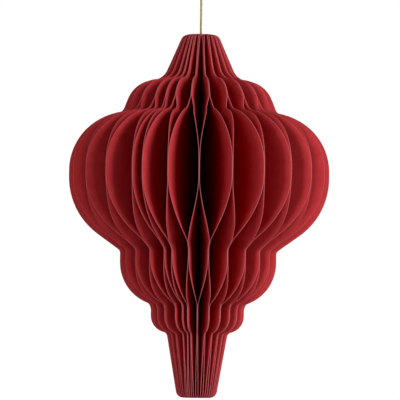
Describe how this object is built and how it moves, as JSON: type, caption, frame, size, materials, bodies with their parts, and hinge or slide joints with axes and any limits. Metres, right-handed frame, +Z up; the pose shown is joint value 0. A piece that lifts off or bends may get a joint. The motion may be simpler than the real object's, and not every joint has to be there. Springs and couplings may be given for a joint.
{
  "type": "accordion paper lantern",
  "caption": "Hanging paper lantern of flat leaves bound round a hollow spine, shaped in stacked lobes, that opens from a flat stack to a full round on a cord with a loop.",
  "frame": {"origin": "where a hook bears inside the hanging loop, on the lantern's axis", "axes": "+Z up along the cord and the spine; -Y towards the viewer; the seam between the covers faces -Y, turned 27 degrees towards -X"},
  "size_m": [0.1288, 0.1286, 0.2304],
  "materials": {
    "paper": "matte",
    "magnet": "satin",
    "thread": "matte",
    "gold_cord": "satin",
    "card": "matte"
  },
  "bodies": {
    "cord": {"hanging_cord": "gold_cord", "hanging_loop": "gold_cord", "loop_knot": "gold_cord", "end_knot": "gold_cord", "cord_washer": "card", "binding_thread": "thread"},
    "first_cover_body": {"first_cover": "paper", "first_cover_magnets": "magnet"},
    "leaf_02_body": {"leaf_02": "paper"},
    "leaf_03_body": {"leaf_03": "paper"},
    "leaf_04_body": {"leaf_04": "paper"},
    "leaf_05_body": {"leaf_05": "paper"},
    "leaf_06_body": {"leaf_06": "paper"},
    "leaf_07_body": {"leaf_07": "paper"},
    "leaf_08_body": {"leaf_08": "paper"},
    "leaf_09_body": {"leaf_09": "paper"},
    "leaf_10_body": {"leaf_10": "paper"},
    "leaf_11_body": {"leaf_11": "paper"},
    "leaf_12_body": {"leaf_12": "paper"},
    "leaf_13_body": {"leaf_13": "paper"},
    "leaf_14_body": {"leaf_14": "paper"},
    "leaf_15_body": {"leaf_15": "paper"},
    "leaf_16_body": {"leaf_16": "paper"},
    "leaf_17_body": {"leaf_17": "paper"},
    "leaf_18_body": {"leaf_18": "paper"},
    "leaf_19_body": {"leaf_19": "paper"},
    "leaf_20_body": {"leaf_20": "paper"},
    "leaf_21_body": {"leaf_21": "paper"},
    "leaf_22_body": {"leaf_22": "paper"},
    "leaf_23_body": {"leaf_23": "paper"},
    "leaf_24_body": {"leaf_24": "paper"},
    "leaf_25_body": {"leaf_25": "paper"},
    "leaf_26_body": {"leaf_26": "paper"},
    "leaf_27_body": {"leaf_27": "paper"},
    "leaf_28_body": {"leaf_28": "paper"},
    "leaf_29_body": {"leaf_29": "paper"},
    "leaf_30_body": {"leaf_30": "paper"},
    "leaf_31_body": {"leaf_31": "paper"},
    "leaf_32_body": {"leaf_32": "paper"},
    "leaf_33_body": {"leaf_33": "paper"},
    "leaf_34_body": {"leaf_34": "paper"},
    "leaf_35_body": {"leaf_35": "paper"},
    "leaf_36_body": {"leaf_36": "paper"},
    "leaf_37_body": {"leaf_37": "paper"},
    "leaf_38_body": {"leaf_38": "paper"},
    "leaf_39_body": {"leaf_39": "paper"},
    "leaf_40_body": {"leaf_40": "paper"},
    "leaf_41_body": {"leaf_41": "paper"},
    "leaf_42_body": {"leaf_42": "paper"},
    "leaf_43_body": {"leaf_43": "paper"},
    "leaf_44_body": {"leaf_44": "paper"},
    "leaf_45_body": {"leaf_45": "paper"},
    "leaf_46_body": {"leaf_46": "paper"},
    "leaf_47_body": {"leaf_47": "paper"},
    "leaf_48_body": {"leaf_48": "paper"},
    "leaf_49_body": {"leaf_49": "paper"},
    "leaf_50_body": {"leaf_50": "paper"},
    "leaf_51_body": {"leaf_51": "paper"},
    "last_cover_body": {"last_cover": "paper", "last_cover_magnets": "magnet"}
  },
  "joints": [
    {"name": "first_cover_fold", "type": "hinge", "parent": "cord", "child": "first_cover_body", "pos_m": [0.00513, -0.00256, -0.1396], "axis": [0, 0, 1], "range_deg": [0, 178.82], "deforming": ["binding_thread"]},
    {"name": "leaf_02_fold", "type": "hinge", "parent": "cord", "child": "leaf_02_body", "pos_m": [0.00483, -0.0022, -0.1396], "axis": [0, 0, 1], "range_deg": [0, 174.78]},
    {"name": "leaf_03_fold", "type": "hinge", "parent": "cord", "child": "leaf_03_body", "pos_m": [0.00479, -0.0019, -0.1396], "axis": [0, 0, 1], "range_deg": [0, 169.03]},
    {"name": "leaf_04_fold", "type": "hinge", "parent": "cord", "child": "leaf_04_body", "pos_m": [0.00473, -0.00159, -0.1396], "axis": [0, 0, 1], "range_deg": [0, 162.84]},
    {"name": "leaf_05_fold", "type": "hinge", "parent": "cord", "child": "leaf_05_body", "pos_m": [0.00467, -0.00127, -0.1396], "axis": [0, 0, 1], "range_deg": [0, 156.19]},
    {"name": "leaf_06_fold", "type": "hinge", "parent": "cord", "child": "leaf_06_body", "pos_m": [0.0046, -0.00096, -0.1396], "axis": [0, 0, 1], "range_deg": [0, 149.27]},
    {"name": "leaf_07_fold", "type": "hinge", "parent": "cord", "child": "leaf_07_body", "pos_m": [0.00451, -0.00065, -0.1396], "axis": [0, 0, 1], "range_deg": [0, 142.08]},
    {"name": "leaf_08_fold", "type": "hinge", "parent": "cord", "child": "leaf_08_body", "pos_m": [0.00442, -0.00035, -0.1396], "axis": [0, 0, 1], "range_deg": [0, 134.9]},
    {"name": "leaf_09_fold", "type": "hinge", "parent": "cord", "child": "leaf_09_body", "pos_m": [0.00431, -0.00008, -0.1396], "axis": [0, 0, 1], "range_deg": [0, 127.71]},
    {"name": "leaf_10_fold", "type": "hinge", "parent": "cord", "child": "leaf_10_body", "pos_m": [0.00421, 0.00019, -0.1396], "axis": [0, 0, 1], "range_deg": [0, 120.53]},
    {"name": "leaf_11_fold", "type": "hinge", "parent": "cord", "child": "leaf_11_body", "pos_m": [0.00409, 0.00044, -0.1396], "axis": [0, 0, 1], "range_deg": [0, 113.34]},
    {"name": "leaf_12_fold", "type": "hinge", "parent": "cord", "child": "leaf_12_body", "pos_m": [0.00397, 0.00068, -0.1396], "axis": [0, 0, 1], "range_deg": [0, 106.16]},
    {"name": "leaf_13_fold", "type": "hinge", "parent": "cord", "child": "leaf_13_body", "pos_m": [0.00384, 0.00091, -0.1396], "axis": [0, 0, 1], "range_deg": [0, 98.97]},
    {"name": "leaf_14_fold", "type": "hinge", "parent": "cord", "child": "leaf_14_body", "pos_m": [0.00371, 0.00113, -0.1396], "axis": [0, 0, 1], "range_deg": [0, 91.79]},
    {"name": "leaf_15_fold", "type": "hinge", "parent": "cord", "child": "leaf_15_body", "pos_m": [0.00357, 0.00134, -0.1396], "axis": [0, 0, 1], "range_deg": [0, 84.6]},
    {"name": "leaf_16_fold", "type": "hinge", "parent": "cord", "child": "leaf_16_body", "pos_m": [0.00343, 0.00154, -0.1396], "axis": [0, 0, 1], "range_deg": [0, 77.42]},
    {"name": "leaf_17_fold", "type": "hinge", "parent": "cord", "child": "leaf_17_body", "pos_m": [0.00328, 0.00172, -0.1396], "axis": [0, 0, 1], "range_deg": [0, 70.23]},
    {"name": "leaf_18_fold", "type": "hinge", "parent": "cord", "child": "leaf_18_body", "pos_m": [0.00312, 0.0019, -0.1396], "axis": [0, 0, 1], "range_deg": [0, 63.05]},
    {"name": "leaf_19_fold", "type": "hinge", "parent": "cord", "child": "leaf_19_body", "pos_m": [0.00297, 0.00207, -0.1396], "axis": [0, 0, 1], "range_deg": [0, 55.87]},
    {"name": "leaf_20_fold", "type": "hinge", "parent": "cord", "child": "leaf_20_body", "pos_m": [0.0028, 0.00223, -0.1396], "axis": [0, 0, 1], "range_deg": [0, 48.68]},
    {"name": "leaf_21_fold", "type": "hinge", "parent": "cord", "child": "leaf_21_body", "pos_m": [0.00264, 0.00238, -0.1396], "axis": [0, 0, 1], "range_deg": [0, 41.5]},
    {"name": "leaf_22_fold", "type": "hinge", "parent": "cord", "child": "leaf_22_body", "pos_m": [0.00246, 0.00253, -0.1396], "axis": [0, 0, 1], "range_deg": [0, 34.31]},
    {"name": "leaf_23_fold", "type": "hinge", "parent": "cord", "child": "leaf_23_body", "pos_m": [0.00229, 0.00266, -0.1396], "axis": [0, 0, 1], "range_deg": [0, 27.13]},
    {"name": "leaf_24_fold", "type": "hinge", "parent": "cord", "child": "leaf_24_body", "pos_m": [0.00211, 0.00279, -0.1396], "axis": [0, 0, 1], "range_deg": [0, 19.94]},
    {"name": "leaf_25_fold", "type": "hinge", "parent": "cord", "child": "leaf_25_body", "pos_m": [0.00192, 0.0029, -0.1396], "axis": [0, 0, 1], "range_deg": [0, 12.76]},
    {"name": "leaf_26_fold", "type": "hinge", "parent": "cord", "child": "leaf_26_body", "pos_m": [0.00173, 0.00301, -0.1396], "axis": [0, 0, 1], "range_deg": [0, 5.57]},
    {"name": "leaf_27_fold", "type": "hinge", "parent": "cord", "child": "leaf_27_body", "pos_m": [0.00154, 0.00312, -0.1396], "axis": [0, 0, 1], "range_deg": [-1.63, 0]},
    {"name": "leaf_28_fold", "type": "hinge", "parent": "cord", "child": "leaf_28_body", "pos_m": [0.00135, 0.00321, -0.1396], "axis": [0, 0, 1], "range_deg": [-8.82, 0]},
    {"name": "leaf_29_fold", "type": "hinge", "parent": "cord", "child": "leaf_29_body", "pos_m": [0.00114, 0.00329, -0.1396], "axis": [0, 0, 1], "range_deg": [-16, 0]},
    {"name": "leaf_30_fold", "type": "hinge", "parent": "cord", "child": "leaf_30_body", "pos_m": [0.00094, 0.00337, -0.1396], "axis": [0, 0, 1], "range_deg": [-23.19, 0]},
    {"name": "leaf_31_fold", "type": "hinge", "parent": "cord", "child": "leaf_31_body", "pos_m": [0.00073, 0.00344, -0.1396], "axis": [0, 0, 1], "range_deg": [-30.37, 0]},
    {"name": "leaf_32_fold", "type": "hinge", "parent": "cord", "child": "leaf_32_body", "pos_m": [0.00052, 0.0035, -0.1396], "axis": [0, 0, 1], "range_deg": [-37.56, 0]},
    {"name": "leaf_33_fold", "type": "hinge", "parent": "cord", "child": "leaf_33_body", "pos_m": [0.0003, 0.00355, -0.1396], "axis": [0, 0, 1], "range_deg": [-44.74, 0]},
    {"name": "leaf_34_fold", "type": "hinge", "parent": "cord", "child": "leaf_34_body", "pos_m": [0.00007, 0.0036, -0.1396], "axis": [0, 0, 1], "range_deg": [-51.93, 0]},
    {"name": "leaf_35_fold", "type": "hinge", "parent": "cord", "child": "leaf_35_body", "pos_m": [-0.00015, 0.00363, -0.1396], "axis": [0, 0, 1], "range_deg": [-59.11, 0]},
    {"name": "leaf_36_fold", "type": "hinge", "parent": "cord", "child": "leaf_36_body", "pos_m": [-0.00038, 0.00366, -0.1396], "axis": [0, 0, 1], "range_deg": [-66.3, 0]},
    {"name": "leaf_37_fold", "type": "hinge", "parent": "cord", "child": "leaf_37_body", "pos_m": [-0.00062, 0.00367, -0.1396], "axis": [0, 0, 1], "range_deg": [-73.48, 0]},
    {"name": "leaf_38_fold", "type": "hinge", "parent": "cord", "child": "leaf_38_body", "pos_m": [-0.00086, 0.00368, -0.1396], "axis": [0, 0, 1], "range_deg": [-80.67, 0]},
    {"name": "leaf_39_fold", "type": "hinge", "parent": "cord", "child": "leaf_39_body", "pos_m": [-0.00111, 0.00368, -0.1396], "axis": [0, 0, 1], "range_deg": [-87.85, 0]},
    {"name": "leaf_40_fold", "type": "hinge", "parent": "cord", "child": "leaf_40_body", "pos_m": [-0.00136, 0.00366, -0.1396], "axis": [0, 0, 1], "range_deg": [-95.03, 0]},
    {"name": "leaf_41_fold", "type": "hinge", "parent": "cord", "child": "leaf_41_body", "pos_m": [-0.00162, 0.00364, -0.1396], "axis": [0, 0, 1], "range_deg": [-102.22, 0]},
    {"name": "leaf_42_fold", "type": "hinge", "parent": "cord", "child": "leaf_42_body", "pos_m": [-0.00188, 0.00361, -0.1396], "axis": [0, 0, 1], "range_deg": [-109.4, 0]},
    {"name": "leaf_43_fold", "type": "hinge", "parent": "cord", "child": "leaf_43_body", "pos_m": [-0.00215, 0.00356, -0.1396], "axis": [0, 0, 1], "range_deg": [-116.59, 0]},
    {"name": "leaf_44_fold", "type": "hinge", "parent": "cord", "child": "leaf_44_body", "pos_m": [-0.00243, 0.0035, -0.1396], "axis": [0, 0, 1], "range_deg": [-123.77, 0]},
    {"name": "leaf_45_fold", "type": "hinge", "parent": "cord", "child": "leaf_45_body", "pos_m": [-0.00271, 0.00343, -0.1396], "axis": [0, 0, 1], "range_deg": [-130.96, 0]},
    {"name": "leaf_46_fold", "type": "hinge", "parent": "cord", "child": "leaf_46_body", "pos_m": [-0.003, 0.00334, -0.1396], "axis": [0, 0, 1], "range_deg": [-138.14, 0]},
    {"name": "leaf_47_fold", "type": "hinge", "parent": "cord", "child": "leaf_47_body", "pos_m": [-0.00329, 0.00324, -0.1396], "axis": [0, 0, 1], "range_deg": [-145.33, 0]},
    {"name": "leaf_48_fold", "type": "hinge", "parent": "cord", "child": "leaf_48_body", "pos_m": [-0.0036, 0.00312, -0.1396], "axis": [0, 0, 1], "range_deg": [-152.51, 0]},
    {"name": "leaf_49_fold", "type": "hinge", "parent": "cord", "child": "leaf_49_body", "pos_m": [-0.00391, 0.00298, -0.1396], "axis": [0, 0, 1], "range_deg": [-159.7, 0]},
    {"name": "leaf_50_fold", "type": "hinge", "parent": "cord", "child": "leaf_50_body", "pos_m": [-0.00424, 0.00283, -0.1396], "axis": [0, 0, 1], "range_deg": [-166.88, 0]},
    {"name": "leaf_51_fold", "type": "hinge", "parent": "cord", "child": "leaf_51_body", "pos_m": [-0.00457, 0.00265, -0.1396], "axis": [0, 0, 1], "range_deg": [-174.07, 0]},
    {"name": "last_cover_fold", "type": "hinge", "parent": "cord", "child": "last_cover_body", "pos_m": [-0.00508, 0.00267, -0.1396], "axis": [0, 0, 1], "range_deg": [-178.84, 0]}
  ],
  "couplings": [
    {"joint": "leaf_02_fold", "follows": "first_cover_fold", "ratio": 0.97735},
    {"joint": "leaf_03_fold", "follows": "first_cover_fold", "ratio": 0.9452},
    {"joint": "leaf_04_fold", "follows": "first_cover_fold", "ratio": 0.91053},
    {"joint": "leaf_05_fold", "follows": "first_cover_fold", "ratio": 0.87334},
    {"joint": "leaf_06_fold", "follows": "first_cover_fold", "ratio": 0.83466},
    {"joint": "leaf_07_fold", "follows": "first_cover_fold", "ratio": 0.79448},
    {"joint": "leaf_08_fold", "follows": "first_cover_fold", "ratio": 0.7543},
    {"joint": "leaf_09_fold", "follows": "first_cover_fold", "ratio": 0.71412},
    {"joint": "leaf_10_fold", "follows": "first_cover_fold", "ratio": 0.67395},
    {"joint": "leaf_11_fold", "follows": "first_cover_fold", "ratio": 0.63377},
    {"joint": "leaf_12_fold", "follows": "first_cover_fold", "ratio": 0.59359},
    {"joint": "leaf_13_fold", "follows": "first_cover_fold", "ratio": 0.55341},
    {"joint": "leaf_14_fold", "follows": "first_cover_fold", "ratio": 0.51324},
    {"joint": "leaf_15_fold", "follows": "first_cover_fold", "ratio": 0.47306},
    {"joint": "leaf_16_fold", "follows": "first_cover_fold", "ratio": 0.43288},
    {"joint": "leaf_17_fold", "follows": "first_cover_fold", "ratio": 0.3927},
    {"joint": "leaf_18_fold", "follows": "first_cover_fold", "ratio": 0.35252},
    {"joint": "leaf_19_fold", "follows": "first_cover_fold", "ratio": 0.31235},
    {"joint": "leaf_20_fold", "follows": "first_cover_fold", "ratio": 0.27217},
    {"joint": "leaf_21_fold", "follows": "first_cover_fold", "ratio": 0.23199},
    {"joint": "leaf_22_fold", "follows": "first_cover_fold", "ratio": 0.19181},
    {"joint": "leaf_23_fold", "follows": "first_cover_fold", "ratio": 0.15164},
    {"joint": "leaf_24_fold", "follows": "first_cover_fold", "ratio": 0.11146},
    {"joint": "leaf_25_fold", "follows": "first_cover_fold", "ratio": 0.071281},
    {"joint": "leaf_26_fold", "follows": "first_cover_fold", "ratio": 0.031103},
    {"joint": "leaf_27_fold", "follows": "first_cover_fold", "ratio": -0.009075},
    {"joint": "leaf_28_fold", "follows": "first_cover_fold", "ratio": -0.049253},
    {"joint": "leaf_29_fold", "follows": "first_cover_fold", "ratio": -0.08943},
    {"joint": "leaf_30_fold", "follows": "first_cover_fold", "ratio": -0.12961},
    {"joint": "leaf_31_fold", "follows": "first_cover_fold", "ratio": -0.16979},
    {"joint": "leaf_32_fold", "follows": "first_cover_fold", "ratio": -0.20996},
    {"joint": "leaf_33_fold", "follows": "first_cover_fold", "ratio": -0.25014},
    {"joint": "leaf_34_fold", "follows": "first_cover_fold", "ratio": -0.29032},
    {"joint": "leaf_35_fold", "follows": "first_cover_fold", "ratio": -0.3305},
    {"joint": "leaf_36_fold", "follows": "first_cover_fold", "ratio": -0.37067},
    {"joint": "leaf_37_fold", "follows": "first_cover_fold", "ratio": -0.41085},
    {"joint": "leaf_38_fold", "follows": "first_cover_fold", "ratio": -0.45103},
    {"joint": "leaf_39_fold", "follows": "first_cover_fold", "ratio": -0.49121},
    {"joint": "leaf_40_fold", "follows": "first_cover_fold", "ratio": -0.53138},
    {"joint": "leaf_41_fold", "follows": "first_cover_fold", "ratio": -0.57156},
    {"joint": "leaf_42_fold", "follows": "first_cover_fold", "ratio": -0.61174},
    {"joint": "leaf_43_fold", "follows": "first_cover_fold", "ratio": -0.65192},
    {"joint": "leaf_44_fold", "follows": "first_cover_fold", "ratio": -0.6921},
    {"joint": "leaf_45_fold", "follows": "first_cover_fold", "ratio": -0.73227},
    {"joint": "leaf_46_fold", "follows": "first_cover_fold", "ratio": -0.77245},
    {"joint": "leaf_47_fold", "follows": "first_cover_fold", "ratio": -0.81263},
    {"joint": "leaf_48_fold", "follows": "first_cover_fold", "ratio": -0.85281},
    {"joint": "leaf_49_fold", "follows": "first_cover_fold", "ratio": -0.89299},
    {"joint": "leaf_50_fold", "follows": "first_cover_fold", "ratio": -0.93316},
    {"joint": "leaf_51_fold", "follows": "first_cover_fold", "ratio": -0.97334},
    {"joint": "last_cover_fold", "follows": "first_cover_fold", "ratio": -1}
  ]
}
